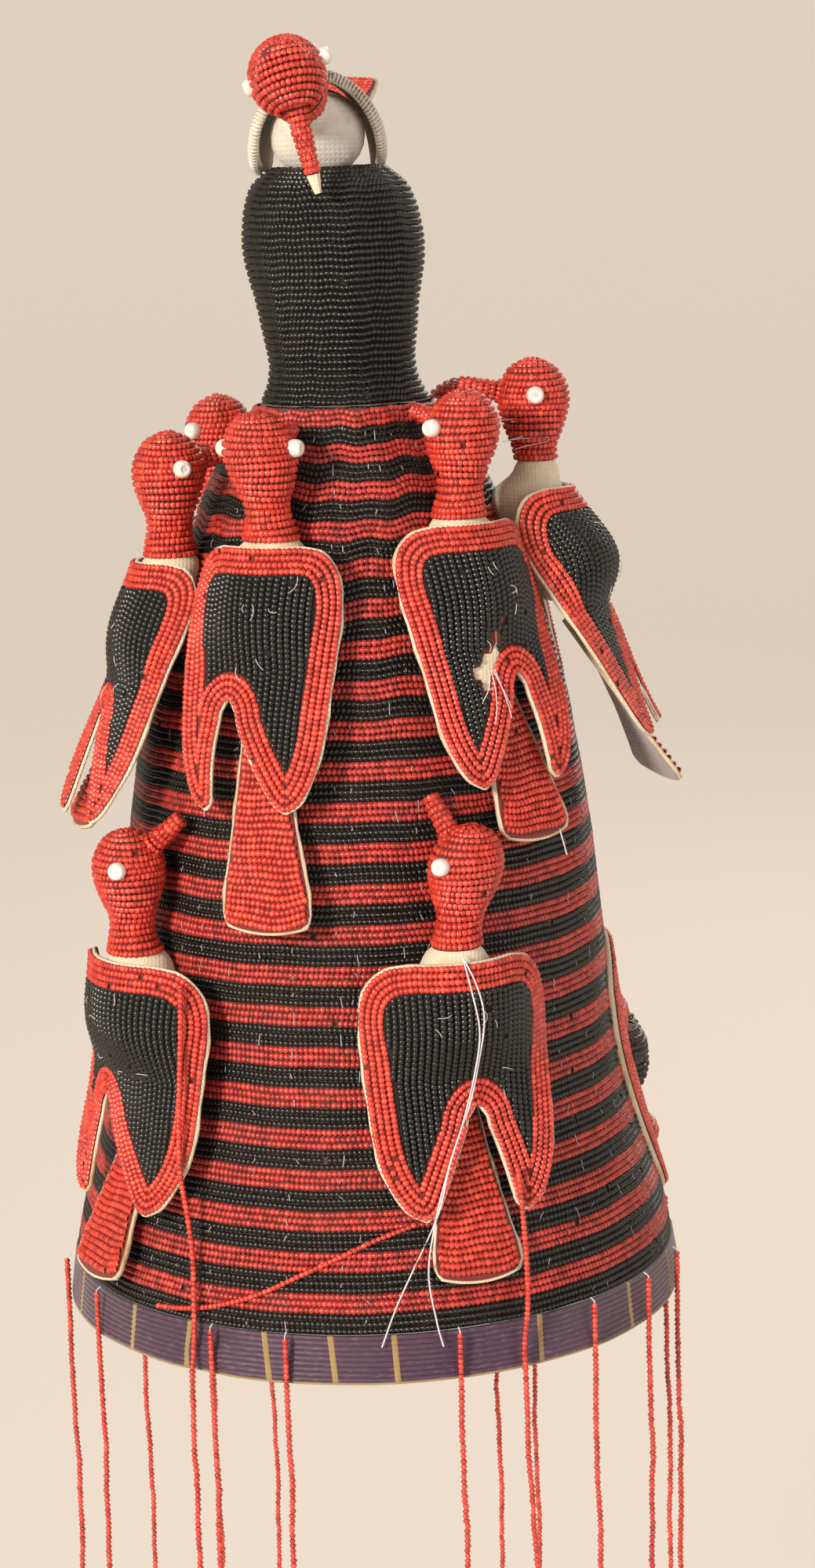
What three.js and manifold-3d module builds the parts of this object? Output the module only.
// A tall conical crown sewn all over with rows of seed beads, in millimetres, +Z up.
// The origin is the centre of the rim's lower edge, where the crown sits on a head.
// The front is -Y. An azimuth is in degrees, 0 at the front and growing towards +X.

import * as THREE from 'three';
import { mergeVertices } from 'three/addons/utils/BufferGeometryUtils.js';
import Module from 'manifold-3d';

const wasm = await Module();
wasm.setup();

// Finishes
const redBeads = { color: 0xc43e2c, roughness: 0.5 };
const blackBeads = { color: 0x211e1b, roughness: 0.5 };
const purpleRibbon = { color: 0x55294f, roughness: 0.8 };
const creamCloth = { color: 0xe0d6c2, roughness: 0.85 };

// Cap, a stiffened cloth cone with a rounded shoulder and a flared foot
const capHeight = 301; // from the rim's lower edge to the seat of the knob
const capRadius = 103; // outside, at the rim
const capWall = 3;
const capSides = 36;
const capSteps = 12;
const capOutlineTable = [
  { height: 0.0, radius: 1.0 },
  { height: 0.05, radius: 0.985 },
  { height: 0.13, radius: 0.925 },
  { height: 0.213, radius: 0.86 },
  { height: 0.3, radius: 0.808 },
  { height: 0.4, radius: 0.775 },
  { height: 0.485, radius: 0.752 },
  { height: 0.548, radius: 0.73 },
  { height: 0.645, radius: 0.687 },
  { height: 0.727, radius: 0.634 },
  { height: 0.81, radius: 0.553 },
  { height: 0.89, radius: 0.462 },
  { height: 0.95, radius: 0.375 },
  { height: 1.0, radius: 0.272 },
]; // shares of capHeight and capRadius

// Rim band, a ribbed ribbon folded round the edge of the cap
const bandHeight = 15.5;
const bandInside = 12; // how far the ribbon turns up inside
const bandThickness = 1.6;
const bandChamfer = 0.5;

// Knob, the stuffed bulb at the top of the cap
const knobHeight = 74;
const knobRadius = 28.5;
const knobLean = 3; // sideways drift of its top, towards -X
const knobSides = 20;
const knobSteps = 12;
const knobOutlineTable = [
  { height: 0.0, radius: 0.93 },
  { height: 0.05, radius: 0.86 },
  { height: 0.16, radius: 0.8 },
  { height: 0.32, radius: 0.855 },
  { height: 0.46, radius: 0.905 },
  { height: 0.57, radius: 0.97 },
  { height: 0.69, radius: 1.0 },
  { height: 0.84, radius: 0.95 },
  { height: 0.94, radius: 0.84 },
  { height: 1.0, radius: 0.66 },
]; // shares of knobHeight and knobRadius

// A bird's cape, the pair of joined wings over its back
const capeWidth = 64;
const capeHeight = 82;
const capeThickness = 2.4;
const capeGap = 1; // between the body and the cape over it
const capeEdgeLift = 7; // clear of the cap along the sides
const capeTipLift = 9; // clear of the cap at the two tips
const capeColumns = 3;
const capeTable = [
  { down: 0.02, inner: 0.0, outer: 0.62, middle: 0.0 },
  { down: 0.07, inner: 0.0, outer: 0.86, middle: 0.1 },
  { down: 0.26, inner: 0.0, outer: 1.0, middle: 0.5 },
  { down: 0.585, inner: 0.0, outer: 0.97, middle: 1.0 },
  { down: 0.77, inner: 0.24, outer: 0.9, middle: 0.8 },
  { down: 0.93, inner: 0.45, outer: 0.8, middle: 0.3 },
  { down: 1.0, inner: 0.56, outer: 0.7, middle: 0.0 },
]; // shares of capeHeight, of half of capeWidth, and of the notch's shift

// A bird's stuffed form: the body under the cape, the neck, the head, the beak and the eye beads
const bodyLength = 44;
const bodyWidth = 24;
const bodyDepth = 16;
const neckLift = 9; // from the cap's surface to the axis of the neck
const headTop = 40; // from the base of the neck to the crown of the head
const headWidth = 23;
const headCentre = 0.69; // share of headTop
const formSides = 10;
const bodyTable = [
  { down: 0.9, width: 0.6, depth: 0.5 },
  { down: 0.55, width: 0.92, depth: 0.9 },
  { down: 0.07, width: 0.95, depth: 1.0 },
]; // shares of bodyLength, bodyWidth and bodyDepth
const headTable = [
  { up: 0.06, width: 0.72 },
  { up: 0.3, width: 0.62 },
  { up: 0.47, width: 0.84 },
  { up: 0.66, width: 1.0 },
  { up: 0.84, width: 0.86 },
  { up: 0.955, width: 0.48 },
]; // shares of headTop and headWidth
const beakLength = 14; // beyond the head
const beakRootRadius = 3.3;
const beakTipRadius = 2.3;
const beakSides = 8;
const eyeRadius = 3;
const eyeSides = 10;
const eyeRings = 4;
const eyeUp = 0.06; // share of headWidth above the head's centre

// A bird's tail, a paddle that widens downwards. It begins where the body ends.
const tailLength = 60;
const tailTopWidth = 10;
const tailEndWidth = 30;
const tailThickness = 2.4;
const tailLift = 3; // how much further off the cap its end is
const tailColumns = 1;
const tailTable = [
  { down: 0.0, width: 0.0 },
  { down: 0.35, width: 0.32 },
  { down: 0.7, width: 0.74 },
  { down: 0.95, width: 1.0 },
  { down: 1.0, width: 0.84 },
]; // shares of tailLength, and of the growth from tailTopWidth to tailEndWidth

// The birds on the cap, one row each. azimuth, turn (of the beak towards +azimuth), rise (of the
// beak), headLean (of the neck towards +azimuth) and tailLean (of the tail towards -azimuth) are in
// degrees. flare is how far the end of the tail stands off the cap, in millimetres. The rest are
// shares: neck of capHeight, stand of the body's depth and the neck's lift, width of capeWidth,
// notch of half the cape's width, edge of capeEdgeLift and tail of tailLength.
const capBirds = [
  { name: 'bird_upper_1', azimuth: -134, neck: 0.868, turn: 0, rise: 14, headLean: 0, tailLean: 0,
    flare: 8, stand: 1.1, width: 1.0, notch: 0.1, edge: 1.0, tail: 1.0 },
  { name: 'bird_upper_2', azimuth: -66, neck: 0.846, turn: 0, rise: 14, headLean: 4, tailLean: 17,
    flare: 24, stand: 1.2, width: 0.75, notch: -0.2, edge: 1.0, tail: 0.72 },
  { name: 'bird_upper_3', azimuth: -24.5, neck: 0.869, turn: 0, rise: 12, headLean: -6, tailLean: -6,
    flare: 6, stand: 1.0, width: 0.83, notch: -0.3, edge: 1.3, tail: 1.26 },
  { name: 'bird_upper_4', azimuth: 37, neck: 0.883, turn: 0, rise: 12, headLean: 5, tailLean: -8,
    flare: 6, stand: 1.0, width: 0.88, notch: 0.2, edge: 1.0, tail: 0.95 },
  { name: 'bird_upper_5', azimuth: 80, neck: 0.907, turn: -10, rise: 12, headLean: 0, tailLean: -2,
    flare: 28, stand: 1.85, width: 0.82, notch: 0.1, edge: 1.4, tail: 0.82 },
  { name: 'bird_upper_6', azimuth: 140, neck: 0.875, turn: 0, rise: 14, headLean: 0, tailLean: 0,
    flare: 8, stand: 1.1, width: 1.0, notch: -0.1, edge: 1.0, tail: 1.0 },
  { name: 'bird_lower_1', azimuth: -54, neck: 0.433, turn: 50, rise: 42, headLean: -2, tailLean: 8,
    flare: 4, stand: 1.4, width: 1.06, notch: -0.3, edge: 1.3, tail: 1.06 },
  { name: 'bird_lower_2', azimuth: 18.5, neck: 0.445, turn: -30, rise: 56, headLean: 9, tailLean: 0,
    flare: 3, stand: 1.2, width: 1.0, notch: 0.1, edge: 1.0, tail: 0.98 },
  { name: 'bird_lower_3', azimuth: -170, neck: 0.44, turn: 28, rise: 56, headLean: 0, tailLean: 0,
    flare: 3, stand: 1.2, width: 1.0, notch: 0.1, edge: 1.0, tail: 1.0 },
];
const flareGrowth = 1.5; // how fast a tail's flare grows downwards

// The bird on the knob. It looks forwards and down, with its cape arched over it like a saddle.
const topBird = { name: 'bird_top', stand: 1.75, width: 1.28, notch: 0, tail: 0.85 }; // as above
const topBirdHeading = -1; // azimuth that it faces
const topBirdSide = -3; // of its seat from the knob's axis
const topBirdHeadLean = -16; // of its neck, towards +X
const topBirdForward = 7.5; // from the knob's axis to the base of its neck
const topBirdNeckRise = 26; // slope of its neck
const topBirdHeadRoll = 21;
const topBeakLength = 19.5; // beaded part, beyond the head
const topBeakSwing = 13; // of the beak from straight down, towards +X
const topTailRise = 24;
const topCapeHalfSpan = 20;
const beakTipLength = 6; // bare end of the beak
const beakTipEndRadius = 1.1;

// Face panel, a shield in low relief low on the cap
const faceAzimuth = 108;
const faceTop = 0.39; // share of capHeight
const faceHeight = 94;
const faceWidth = 96;
const faceThickness = 3;
const faceColumns = 4;
const faceTable = [
  { down: 0.0, outer: 0.5 },
  { down: 0.08, outer: 0.78 },
  { down: 0.25, outer: 0.97 },
  { down: 0.5, outer: 1.0 },
  { down: 0.75, outer: 0.9 },
  { down: 0.93, outer: 0.66 },
  { down: 1.0, outer: 0.4 },
]; // shares of faceHeight, and of half of faceWidth
const featureSides = 10;
const featureRings = 6;
const faceFeatures = [
  { name: 'face_eye_left', side: -0.44, down: 0.42, width: 0.25, height: 0.15, relief: 0.07, taper: 0,
    finish: blackBeads },
  { name: 'face_eye_right', side: 0.44, down: 0.42, width: 0.25, height: 0.15, relief: 0.07, taper: 0,
    finish: blackBeads },
  { name: 'face_nose', side: 0, down: 0.5, width: 0.17, height: 0.36, relief: 0.12, taper: 0.45,
    finish: blackBeads },
  { name: 'face_mouth', side: 0, down: 0.8, width: 0.34, height: 0.12, relief: 0.06, taper: 0,
    finish: redBeads },
]; // side and width in half widths, down and height in faceHeight, relief in faceWidth

// Strands of beads. They are sewn on at the top of the band and hang past its lower edge.
const strandRadius = 1.05;
const strandSides = 8;
const strandSteps = 3;
const longStrandSteps = 12;
const strandDrop = 160; // below the rim
const strandTable = [
  { azimuth: -157.5, length: 1.0 },
  { azimuth: -144, length: 0.985 },
  { azimuth: -126, length: 1.0 },
  { azimuth: -80, length: 0.97 },
  { azimuth: -60, length: 0.99 },
  { azimuth: -30, length: 0.975 },
  { azimuth: -16, length: 1.0 },
  { azimuth: 14, length: 0.98 },
  { azimuth: 41, length: 0.99 },
  { azimuth: 57, length: 0.965 },
  { azimuth: 72, length: 1.0 },
  { azimuth: 104, length: 0.98 },
  { azimuth: 146.5, length: 0.99 },
  { azimuth: 155, length: 1.0 },
]; // length as a share of strandDrop
// Chosen points of the three other strands: azimuth, distance off the cap and height.
const looseRoute = [
  [8, 1.7, 48.5],
  [0, 1.7, 44.3],
  [-7, 1.7, 39.2],
  [-14.5, 1.7, 33.3],
  [-22, 1.7, 27],
  [-30, 1.7, 22],
  [-37, 1.7, 19.2],
  [-44, 1.7, 17.6],
];
const wingRoute = [
  [-36.6, 18.4, 124],
  [-36.5, 18.2, 105],
  [-36.4, 17.6, 85],
  [-36.2, 15, 66],
  [-35.6, 9.4, 50],
  [-34.6, 5.4, 34],
  [-33.6, 5, 18],
  [-33.4, 5, 6],
  [-33.6, 5, -4],
  [-34, 5, -60],
  [-34.6, 5, -157],
];
const tailRoute = [
  [26, 15.8, 66],
  [26, 15.2, 56],
  [26.1, 13.2, 44],
  [26.2, 10.6, 33],
  [26.2, 7.4, 20],
  [25.6, 5, 8],
  [25.6, 4.6, -3],
  [26.4, 4.6, -55],
  [28, 4.6, -155],
];
const strandRoutes = { strand_loose: looseRoute, strand_wing: wingRoute, strand_tail: tailRoute };

// Clearances
const seatGap = 0.3; // between pieces that touch
const sheetGap = 0.6; // between a bent sheet and what it lies on

// Meshes
const weldDistance = 1e-4; // corners closer than this are one
const levelSlack = 1e-6;

const group = new THREE.Group();

function addMesh(name, geometry, finish) {
  const mesh = new THREE.Mesh(geometry, new THREE.MeshStandardMaterial({ ...finish, metalness: 0 }));
  mesh.name = name;
  group.add(mesh);
}

function degrees(value) {
  return THREE.MathUtils.degToRad(value);
}

// Unit vectors at an azimuth: outwards from the axis, and sideways towards +azimuth.
function outwardAt(azimuth) {
  const angle = degrees(azimuth);
  return new THREE.Vector3(Math.sin(angle), -Math.cos(angle), 0);
}

function sidewaysAt(azimuth) {
  const angle = degrees(azimuth);
  return new THREE.Vector3(Math.cos(angle), Math.sin(angle), 0);
}

function polar(azimuth, radius, height) {
  return outwardAt(azimuth).multiplyScalar(radius).setZ(height);
}

// Smooth outline through a table of shares, as [radius, height] points.
function outlineFrom(table, radius, height, steps) {
  const points = table.map((row) => new THREE.Vector2(row.radius * radius, row.height * height));
  return new THREE.SplineCurve(points).getSpacedPoints(steps);
}

// Value of a table's column at a share down it, on straight lines between its rows.
function tableValue(table, key, column, at) {
  const rows = [...table].sort((a, b) => a[key] - b[key]);
  const next = rows.findIndex((row) => row[key] >= at);
  if (next === 0) return rows[0][column];
  if (next < 0) return rows[rows.length - 1][column];
  const low = rows[next - 1];
  const high = rows[next];
  return THREE.MathUtils.mapLinear(at, low[key], high[key], low[column], high[column]);
}

const capOutline = outlineFrom(capOutlineTable, capRadius, capHeight, capSteps);

// Outside radius of the cap at a height, on the same straight facets as its mesh.
function capRadiusAt(height) {
  const level = THREE.MathUtils.clamp(height, 0, capHeight);
  const next = Math.max(1, capOutline.findIndex((point) => point.y >= level - levelSlack));
  const low = capOutline[next - 1];
  const high = capOutline[next];
  return THREE.MathUtils.mapLinear(level, low.y, high.y, low.x, high.x);
}

// A closed mesh with shared corners and its faces pointing out.
function closedGeometry(source) {
  const bare = source.index ? source.toNonIndexed() : source;
  bare.deleteAttribute('normal');
  bare.deleteAttribute('uv');
  const merged = mergeVertices(bare, weldDistance);
  const index = merged.index.array;
  const corner = (i) => new THREE.Vector3().fromBufferAttribute(merged.attributes.position, index[i]);
  const kept = [];
  let volume = 0;
  for (let i = 0; i < index.length; i += 3) {
    const [a, b, c] = [index[i], index[i + 1], index[i + 2]];
    if (a === b || b === c || c === a) continue;
    kept.push(a, b, c);
    volume += corner(i).dot(corner(i + 1).cross(corner(i + 2)));
  }
  if (volume < 0) kept.reverse();
  merged.setIndex(kept);
  merged.computeVertexNormals();
  return merged;
}

function geometryFromTriangles(triangles) {
  const geometry = new THREE.BufferGeometry();
  geometry.setFromPoints(triangles.flat());
  return closedGeometry(geometry);
}

function lathe(profile, sides) {
  return closedGeometry(new THREE.LatheGeometry(profile, sides).rotateX(Math.PI / 2));
}

function toManifold(geometry) {
  const clean = closedGeometry(geometry);
  const vertProperties = new Float32Array(clean.attributes.position.array);
  const triVerts = new Uint32Array(clean.index.array);
  return new wasm.Manifold(new wasm.Mesh({ numProp: 3, vertProperties, triVerts }));
}

function joined(geometries) {
  const solids = geometries.map(toManifold);
  const mesh = solids.slice(1).reduce((whole, solid) => whole.add(solid), solids[0]).getMesh();
  const geometry = new THREE.BufferGeometry();
  geometry.setAttribute('position', new THREE.BufferAttribute(new Float32Array(mesh.vertProperties), 3));
  geometry.setIndex(Array.from(mesh.triVerts));
  geometry.computeVertexNormals();
  return geometry;
}

// A sheet of one thickness from rows across it. Each row runs from inner to outer on both sides of
// its middle, so rows with inner above zero leave a notch. place turns (side, down, depth) into a
// point.
function sheet(rows, columns, thickness, place) {
  const triangles = [];
  const quad = (a, b, c, d) => triangles.push([a, b, c], [a, c, d]);
  for (const hand of [-1, 1]) {
    const at = (row, column, depth) => {
      const { inner, outer, down, middle } = rows[row];
      const side = THREE.MathUtils.lerp(middle + hand * inner, hand * outer, column / columns);
      return place(side, down, depth * thickness);
    };
    const face = (a, b, c, d) => (hand > 0 ? quad(a, b, c, d) : quad(d, c, b, a));
    for (let row = 0; row + 1 < rows.length; row += 1) {
      for (let column = 0; column < columns; column += 1) {
        face(at(row, column, 1), at(row + 1, column, 1), at(row + 1, column + 1, 1), at(row, column + 1, 1));
        face(at(row, column + 1, 0), at(row + 1, column + 1, 0), at(row + 1, column, 0), at(row, column, 0));
      }
      face(at(row, columns, 1), at(row + 1, columns, 1), at(row + 1, columns, 0), at(row, columns, 0));
      if (rows[row].inner > 0 || rows[row + 1].inner > 0) {
        face(at(row, 0, 0), at(row + 1, 0, 0), at(row + 1, 0, 1), at(row, 0, 1));
      }
    }
    const last = rows.length - 1;
    for (let column = 0; column < columns; column += 1) {
      face(at(0, column, 0), at(0, column, 1), at(0, column + 1, 1), at(0, column + 1, 0));
      face(at(last, column, 1), at(last, column, 0), at(last, column + 1, 0), at(last, column + 1, 1));
    }
  }
  return geometryFromTriangles(triangles);
}

// A stuffed form through elliptical rings, closed by a point at each end.
function loft(rings, start, end) {
  const triangles = [];
  const sides = rings[0].length;
  for (let side = 0; side < sides; side += 1) {
    const next = (side + 1) % sides;
    triangles.push([start, rings[0][next], rings[0][side]]);
    for (let ring = 0; ring + 1 < rings.length; ring += 1) {
      const [a, b] = [rings[ring][side], rings[ring][next]];
      const [c, d] = [rings[ring + 1][side], rings[ring + 1][next]];
      triangles.push([a, b, d], [a, d, c]);
    }
    const last = rings[rings.length - 1];
    triangles.push([last[side], last[next], end]);
  }
  return geometryFromTriangles(triangles);
}

function ellipseRing(width, depth, middle, down, place) {
  return Array.from({ length: formSides }, (_, i) => {
    const angle = (2 * Math.PI * i) / formSides;
    const side = (width / 2) * Math.sin(angle);
    return place(side, down, middle + (depth / 2) * Math.cos(angle));
  });
}

// A tapered round piece from one point towards another.
function taper(from, to, fromRadius, toRadius) {
  const reach = to.clone().sub(from);
  const geometry = new THREE.CylinderGeometry(toRadius, fromRadius, reach.length(), beakSides);
  geometry.translate(0, reach.length() / 2, 0);
  const turn = new THREE.Quaternion().setFromUnitVectors(new THREE.Vector3(0, 1, 0), reach.normalize());
  return geometry.applyQuaternion(turn).translate(from.x, from.y, from.z);
}

function tube(points, steps) {
  const section = new THREE.Shape();
  section.absarc(0, 0, strandRadius, 0, 2 * Math.PI);
  const extrudePath = new THREE.CatmullRomCurve3(points);
  const options = { steps, curveSegments: strandSides / 2, extrudePath };
  return closedGeometry(new THREE.ExtrudeGeometry(section, options));
}

// Depth of a bird's body at a length below its neck.
function bodyDepthAt(bird, down) {
  return bird.stand * bodyDepth * tableValue(bodyTable, 'down', 'depth', down / bodyLength);
}

function stuffedForm(bird) {
  const rings = bodyTable.map((row) => {
    const depth = row.depth * bodyDepth * bird.stand;
    return ellipseRing(row.width * bodyWidth, depth, sheetGap + depth / 2, row.down * bodyLength, bird.place);
  });
  const lift = neckLift * bird.stand;
  headTable.forEach((row) => {
    const width = row.width * headWidth;
    rings.push(ellipseRing(width, width, lift, -row.up * headTop, bird.place));
  });
  const bodyEnd = bird.onTail(0, -seatGap, tailThickness / 2);
  const body = loft(rings, bodyEnd, bird.place(0, -headTop, lift));
  const centre = bird.place(0, -headCentre * headTop, lift);
  const beakEnd = centre.clone().addScaledVector(bird.beakWay, headWidth / 2 + bird.beakLength);
  const beak = taper(centre, beakEnd, beakRootRadius, beakTipRadius);
  const eyes = [-1, 1].map((hand) => {
    const seat = centre.clone().addScaledVector(bird.eyeWay, (hand * headWidth) / 2);
    seat.addScaledVector(bird.eyeUpWay, eyeUp * headWidth);
    return new THREE.SphereGeometry(eyeRadius, eyeSides, eyeRings).translate(seat.x, seat.y, seat.z);
  });
  return { geometry: joined([body, beak, ...eyes]), beakEnd };
}

function capeRows(bird) {
  const halfWidth = (bird.width * capeWidth) / 2;
  return capeTable.map((row) => ({
    down: row.down * capeHeight,
    inner: row.inner * halfWidth,
    outer: row.outer * halfWidth,
    middle: row.middle * bird.notch * halfWidth,
  }));
}

function tailRows(bird) {
  return tailTable.map((row) => ({
    down: row.down * tailLength * bird.tail,
    inner: 0,
    outer: THREE.MathUtils.lerp(tailTopWidth, tailEndWidth, row.width) / 2,
    middle: 0,
  }));
}

// Clearance of a cape's underside: an arch over the body that falls to the edges.
function capeLift(bird, side, down) {
  const share = Math.min(1, Math.abs(side) / ((bird.width * capeWidth) / 2));
  const past = THREE.MathUtils.clamp((down - bodyLength) / (capeHeight - bodyLength), 0, 1);
  const overBody = sheetGap + bodyDepthAt(bird, Math.min(down, bodyLength)) + capeGap;
  const ridge = Math.max(THREE.MathUtils.lerp(overBody, capeTipLift, past), capeTipLift);
  const edge = THREE.MathUtils.lerp(capeEdgeLift * bird.edge, capeTipLift, down / capeHeight);
  return THREE.MathUtils.lerp(edge, ridge, Math.cos((Math.PI / 2) * share));
}

// A place on a bird that lies along the cap: sideways, down from its neck, and off the surface.
function onCapStraight(bird) {
  const neckHeight = bird.neck * capHeight;
  const outward = outwardAt(bird.azimuth);
  const sideways = sidewaysAt(bird.azimuth);
  return (side, down, off) => {
    const height = neckHeight - down;
    const radius = capRadiusAt(Math.min(height, neckHeight)) + off;
    const sway = Math.max(0, -down) * Math.tan(degrees(bird.headLean));
    return outward.clone().multiplyScalar(radius).addScaledVector(sideways, side + sway).setZ(height);
  };
}

// The same for a sheet, which wraps round the cap, leans and flares.
function onCapWrapped(bird, lean) {
  const neckHeight = bird.neck * capHeight;
  return (side, down, off) => {
    const shift = Math.max(0, down - bodyLength) * Math.tan(degrees(lean));
    const flare = bird.flare * (Math.max(0, down) / (bodyLength + tailLength)) ** flareGrowth;
    const height = neckHeight - down;
    const radius = capRadiusAt(height) + off + flare;
    return polar(bird.azimuth + THREE.MathUtils.radToDeg((side - shift) / radius), radius, height);
  };
}

function addBird(bird) {
  const form = stuffedForm(bird);
  addMesh(`${bird.name}_form`, form.geometry, redBeads);
  const cape = sheet(capeRows(bird), capeColumns, capeThickness, bird.onCape);
  addMesh(`${bird.name}_wings`, cape, blackBeads);
  const tail = sheet(tailRows(bird), tailColumns, tailThickness, bird.onTail);
  addMesh(`${bird.name}_tail`, tail, redBeads);
  return form;
}

function addCapBird(row) {
  const wrapped = onCapWrapped(row, 0);
  const wrappedTail = onCapWrapped(row, row.tailLean);
  const turn = degrees(row.turn);
  const rise = degrees(row.rise);
  const forward = outwardAt(row.azimuth).multiplyScalar(-Math.cos(turn));
  forward.addScaledVector(sidewaysAt(row.azimuth), Math.sin(turn));
  const up = new THREE.Vector3(0, 0, 1);
  addBird({
    ...row,
    place: onCapStraight(row),
    beakLength,
    beakWay: forward.clone().multiplyScalar(Math.cos(rise)).addScaledVector(up, Math.sin(rise)),
    eyeWay: new THREE.Vector3().crossVectors(forward, up),
    eyeUpWay: up,
    onCape: (side, down, depth) => wrapped(side, down, capeLift(row, side, down) + depth),
    onTail: (side, down, depth) => {
      const off = sheetGap + tailLift * (down / tailLength) + depth;
      return wrappedTail(side, bodyLength + seatGap + down, off);
    },
  });
}

function addTopBird() {
  const forward = outwardAt(topBirdHeading);
  const sideways = sidewaysAt(topBirdHeading);
  const up = new THREE.Vector3(0, 0, 1);
  const seat = new THREE.Vector3(topBirdSide - knobLean, 0, capHeight + seatGap + knobHeight);
  seat.addScaledVector(forward, topBirdForward);
  const neckRise = Math.tan(degrees(topBirdNeckRise));
  const headSway = Math.tan(degrees(topBirdHeadLean));
  const place = (side, down, off) => {
    const neck = Math.max(0, -down);
    const point = seat.clone().addScaledVector(sideways, side + neck * headSway);
    return point.addScaledVector(forward, -down).addScaledVector(up, off + neck * neckRise);
  };
  const halfCape = (topBird.width * capeWidth) / 2;
  const ridge = bodyDepth * topBird.stand + capeGap;
  const swing = degrees(topBeakSwing);
  const roll = degrees(topBirdHeadRoll);
  const across = new THREE.Vector3(1, 0, 0);
  const tailSlope = Math.tan(degrees(topTailRise));
  const tailStartOff = sheetGap + (bodyDepthAt(topBird, bodyLength) - tailThickness) / 2;
  const bird = {
    ...topBird,
    place,
    beakLength: topBeakLength,
    beakWay: across.clone().multiplyScalar(Math.sin(swing)).addScaledVector(up, -Math.cos(swing)),
    eyeWay: across.clone().multiplyScalar(Math.cos(roll)).addScaledVector(up, Math.sin(roll)),
    eyeUpWay: up,
    onCape: (side, down, depth) => {
      const angle = (side / halfCape) * (Math.PI / 2);
      const out = (topCapeHalfSpan + depth) * Math.sin(angle);
      return place(out, down, sheetGap + (ridge + depth) * Math.cos(angle));
    },
    onTail: (side, down, depth) => {
      return place(side, bodyLength + seatGap + down, tailStartOff + down * tailSlope + depth);
    },
  };
  const form = addBird(bird);
  const tipStart = form.beakEnd.clone().addScaledVector(bird.beakWay, seatGap);
  const tipEnd = tipStart.clone().addScaledVector(bird.beakWay, beakTipLength);
  const tip = closedGeometry(taper(tipStart, tipEnd, beakTipRadius, beakTipEndRadius));
  addMesh('bird_top_beak_tip', tip, creamCloth);
}

function addCap() {
  const bottom = bandThickness + seatGap;
  const outside = capOutline.filter((point) => point.y > bottom + seatGap);
  outside.unshift(new THREE.Vector2(capRadiusAt(bottom), bottom));
  const inside = outside.filter((point) => point.y < capHeight - capWall);
  const ceiling = capHeight - capWall;
  inside.push(new THREE.Vector2(capRadiusAt(ceiling), ceiling));
  const inner = inside.map((point) => new THREE.Vector2(point.x - capWall, point.y)).reverse();
  const profile = [new THREE.Vector2(0, ceiling), ...inner, ...outside, new THREE.Vector2(0, capHeight)];
  addMesh('cap', lathe(profile, capSides), redBeads);
}

function addRimBand() {
  const levels = (top) => [0, ...capOutline.map((point) => point.y).filter((y) => y > 0 && y < top), top];
  const point = (height, off, level = height) => new THREE.Vector2(capRadiusAt(height) + off, level);
  const face = seatGap;
  const innerFace = -capWall - seatGap;
  const profile = [
    point(0, innerFace - bandThickness + bandChamfer, 0),
    point(0, face + bandThickness - bandChamfer, 0),
    point(bandChamfer, face + bandThickness),
    ...levels(bandHeight).slice(1).map((height) => point(height, face + bandThickness)),
    point(bandHeight, face),
    ...levels(bandHeight).slice(1, -1).reverse().map((height) => point(height, face)),
    point(bandThickness, face),
    point(bandThickness, innerFace),
    ...levels(bandInside).slice(1).map((height) => point(height, innerFace)),
    point(bandInside, innerFace - bandThickness),
    point(bandChamfer, innerFace - bandThickness),
  ];
  profile.push(profile[0]);
  addMesh('rim_band', lathe(profile, capSides), purpleRibbon);
}

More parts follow.
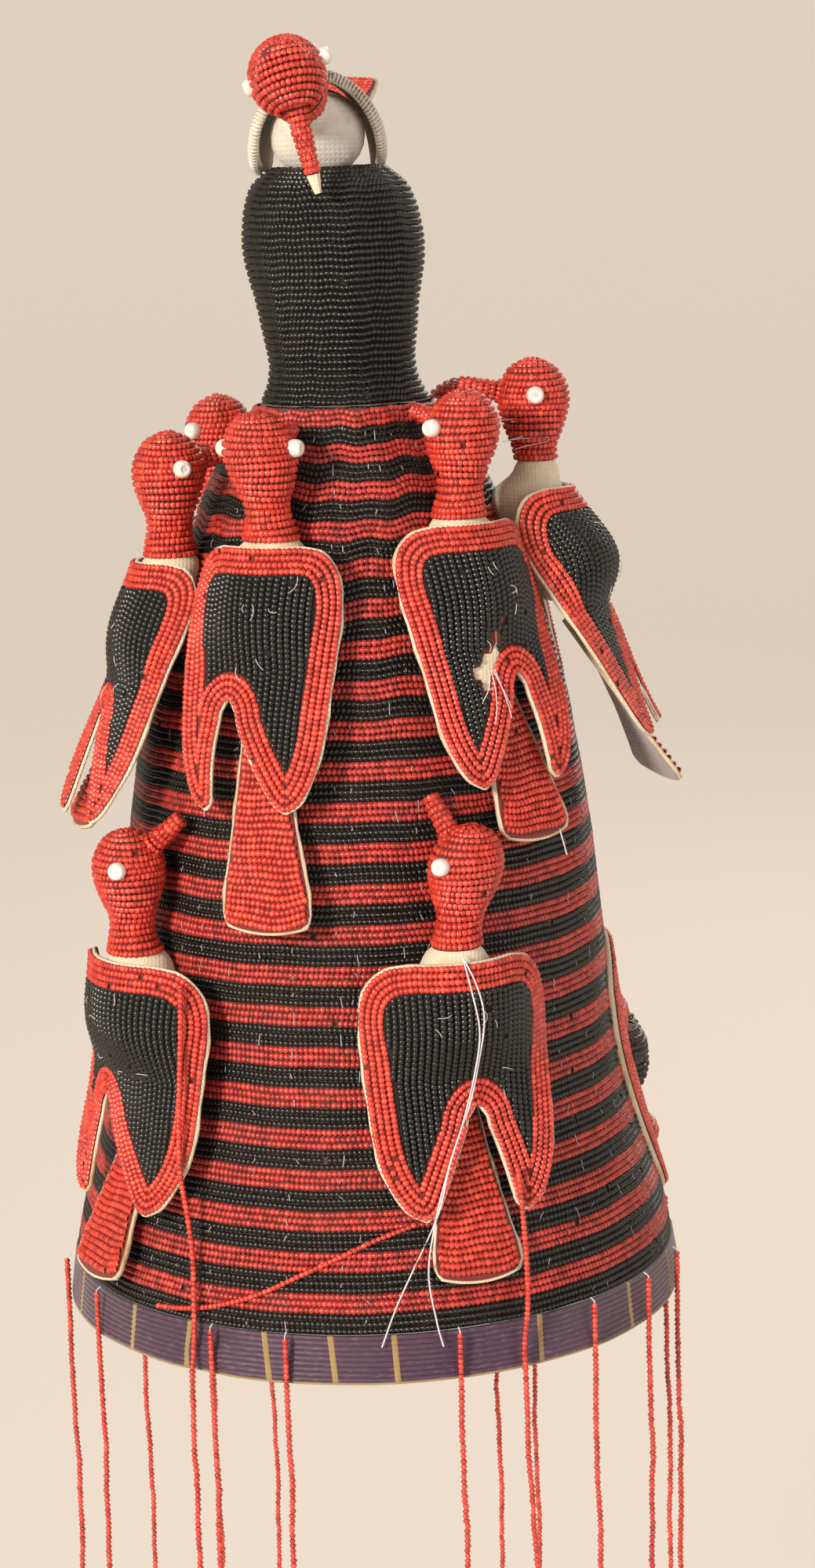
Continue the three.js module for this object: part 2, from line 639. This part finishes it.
function addKnob() {
  const outline = outlineFrom(knobOutlineTable, knobRadius, knobHeight, knobSteps);
  const profile = [new THREE.Vector2(0, 0), ...outline, new THREE.Vector2(0, knobHeight)];
  const geometry = new THREE.LatheGeometry(profile, knobSides).rotateX(Math.PI / 2);
  const lean = new THREE.Matrix4().set(1, 0, -knobLean / knobHeight, 0, 0, 1, 0, 0, 0, 0, 1, 0, 0, 0, 0, 1);
  geometry.applyMatrix4(lean).translate(0, 0, capHeight + seatGap);
  addMesh('knob', closedGeometry(geometry), blackBeads);
}

function onFace(side, down, off) {
  const height = faceTop * capHeight - down;
  const radius = capRadiusAt(height) + off;
  return polar(faceAzimuth + THREE.MathUtils.radToDeg(side / radius), radius, height);
}

function addFace() {
  const rows = faceTable.map((row) => {
    return { down: row.down * faceHeight, inner: 0, middle: 0, outer: (row.outer * faceWidth) / 2 };
  });
  const panel = sheet(rows, faceColumns, faceThickness, (side, down, depth) => {
    return onFace(side, down, sheetGap + depth);
  });
  addMesh('face_panel', panel, redBeads);
  const seat = 2 * sheetGap + faceThickness;
  faceFeatures.forEach((feature) => {
    const dome = closedGeometry(new THREE.SphereGeometry(1, featureSides, featureRings).rotateX(Math.PI / 2));
    const places = dome.attributes.position;
    for (let i = 0; i < places.count; i += 1) {
      const [x, y, z] = [places.getX(i), places.getY(i), places.getZ(i)];
      const spread = 1 - feature.taper * (1 + y) / 2;
      const side = (feature.side + feature.width * spread * x) * (faceWidth / 2);
      const down = (feature.down - (feature.height / 2) * y) * faceHeight;
      const off = seat + Math.max(0, z) * feature.relief * faceWidth;
      const point = onFace(side, down, off);
      places.setXYZ(i, point.x, point.y, point.z);
    }
    addMesh(feature.name, closedGeometry(dome), feature.finish);
  });
}

function addStrands() {
  const off = seatGap + bandThickness + seatGap + strandRadius;
  strandTable.forEach((row, index) => {
    const rim = capRadiusAt(0) + off;
    const points = [bandHeight, -row.length * strandDrop].map((height) => polar(row.azimuth, rim, height));
    const number = String(index + 1).padStart(2, '0');
    addMesh(`strand_${number}`, tube(points, strandSteps), redBeads);
  });
  Object.entries(strandRoutes).forEach(([name, route]) => {
    const points = route.map(([azimuth, away, height]) => polar(azimuth, capRadiusAt(height) + away, height));
    addMesh(name, tube(points, longStrandSteps), redBeads);
  });
}

addCap();
addRimBand();
addKnob();
addTopBird();
capBirds.forEach(addCapBird);
addFace();
addStrands();

export default group;
